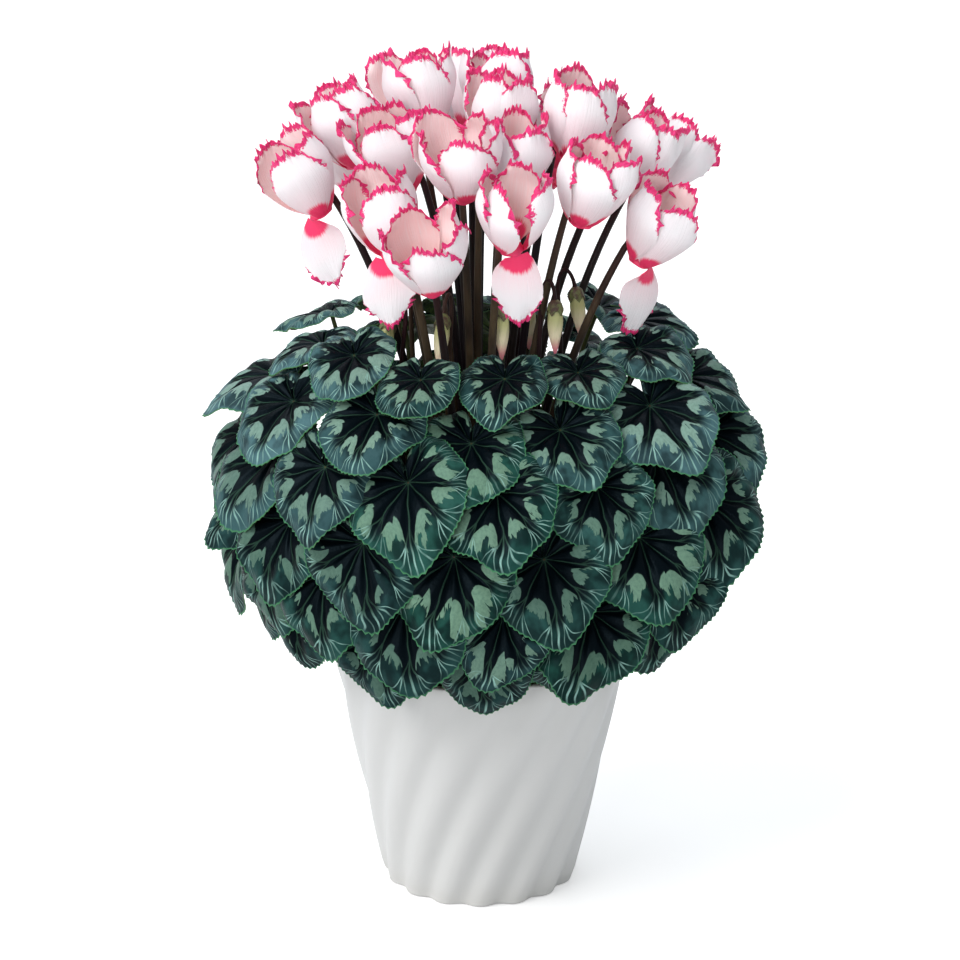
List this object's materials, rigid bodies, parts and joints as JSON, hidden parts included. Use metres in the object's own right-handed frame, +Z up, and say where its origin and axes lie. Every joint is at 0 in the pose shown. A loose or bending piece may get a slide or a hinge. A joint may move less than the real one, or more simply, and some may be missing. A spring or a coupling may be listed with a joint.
{
  "type": "potted cyclamen",
  "caption": "Florist's cyclamen with marbled heart-shaped leaves, fringed picotee flowers and nodding buds, in a round pot with spiral flutes.",
  "frame": {"origin": "middle of the flat underside of the pot", "axes": "+Z up from the surface the pot stands on, the front of the plant towards -Y"},
  "size_m": [0.2945, 0.2768, 0.446],
  "materials": {
    "pot": "smooth satin white",
    "soil": "loose peat",
    "tuber": "corky",
    "stem": "fleshy, slightly glossy",
    "leaf": "marbled dark green and silver, slightly glossy, with a fine toothed edge",
    "petal": "soft, white, with a fringed magenta edge and a rose base",
    "bud": "soft cream"
  },
  "bodies": {
    "root": {"pot": "pot", "soil": "soil", "tuber": "tuber", "flower_stems": "stem", "leaf_spray_01": "leaf", "leaf_spray_02": "leaf", "leaf_spray_03": "leaf", "leaf_spray_04": "leaf", "leaf_spray_05": "leaf", "leaf_spray_06": "leaf", "leaf_spray_07": "leaf", "leaf_spray_08": "leaf", "leaf_spray_09": "leaf", "leaf_spray_10": "leaf", "leaf_spray_11": "leaf", "leaf_spray_12": "leaf", "leaf_spray_13": "leaf", "leaf_spray_14": "leaf", "leaf_spray_15": "leaf", "leaf_spray_16": "leaf", "leaf_spray_17": "leaf", "leaf_spray_18": "leaf", "leaf_spray_19": "leaf", "leaf_spray_20": "leaf", "leaf_spray_21": "leaf", "leaf_spray_22": "leaf", "leaf_spray_23": "leaf", "leaf_spray_24": "leaf", "leaf_spray_25": "leaf", "leaf_spray_26": "leaf", "leaf_spray_27": "leaf", "bloom_01": "petal", "bloom_02": "petal", "bloom_03": "petal", "bloom_04": "petal", "bloom_05": "petal", "bloom_06": "petal", "bloom_07": "petal", "bloom_08": "petal", "bloom_09": "petal", "bloom_10": "petal", "bloom_11": "petal", "bloom_12": "petal", "bloom_13": "petal", "bloom_14": "petal", "bloom_15": "petal", "bloom_16": "petal", "bloom_17": "petal", "bloom_18": "petal", "bloom_19": "petal", "bloom_20": "petal", "bloom_21": "petal", "bloom_22": "petal", "bud_01": "bud", "bud_02": "bud", "bud_03": "bud", "bud_04": "bud", "bud_05": "bud", "bud_06": "bud", "bud_07": "bud"}
  },
  "joints": []
}
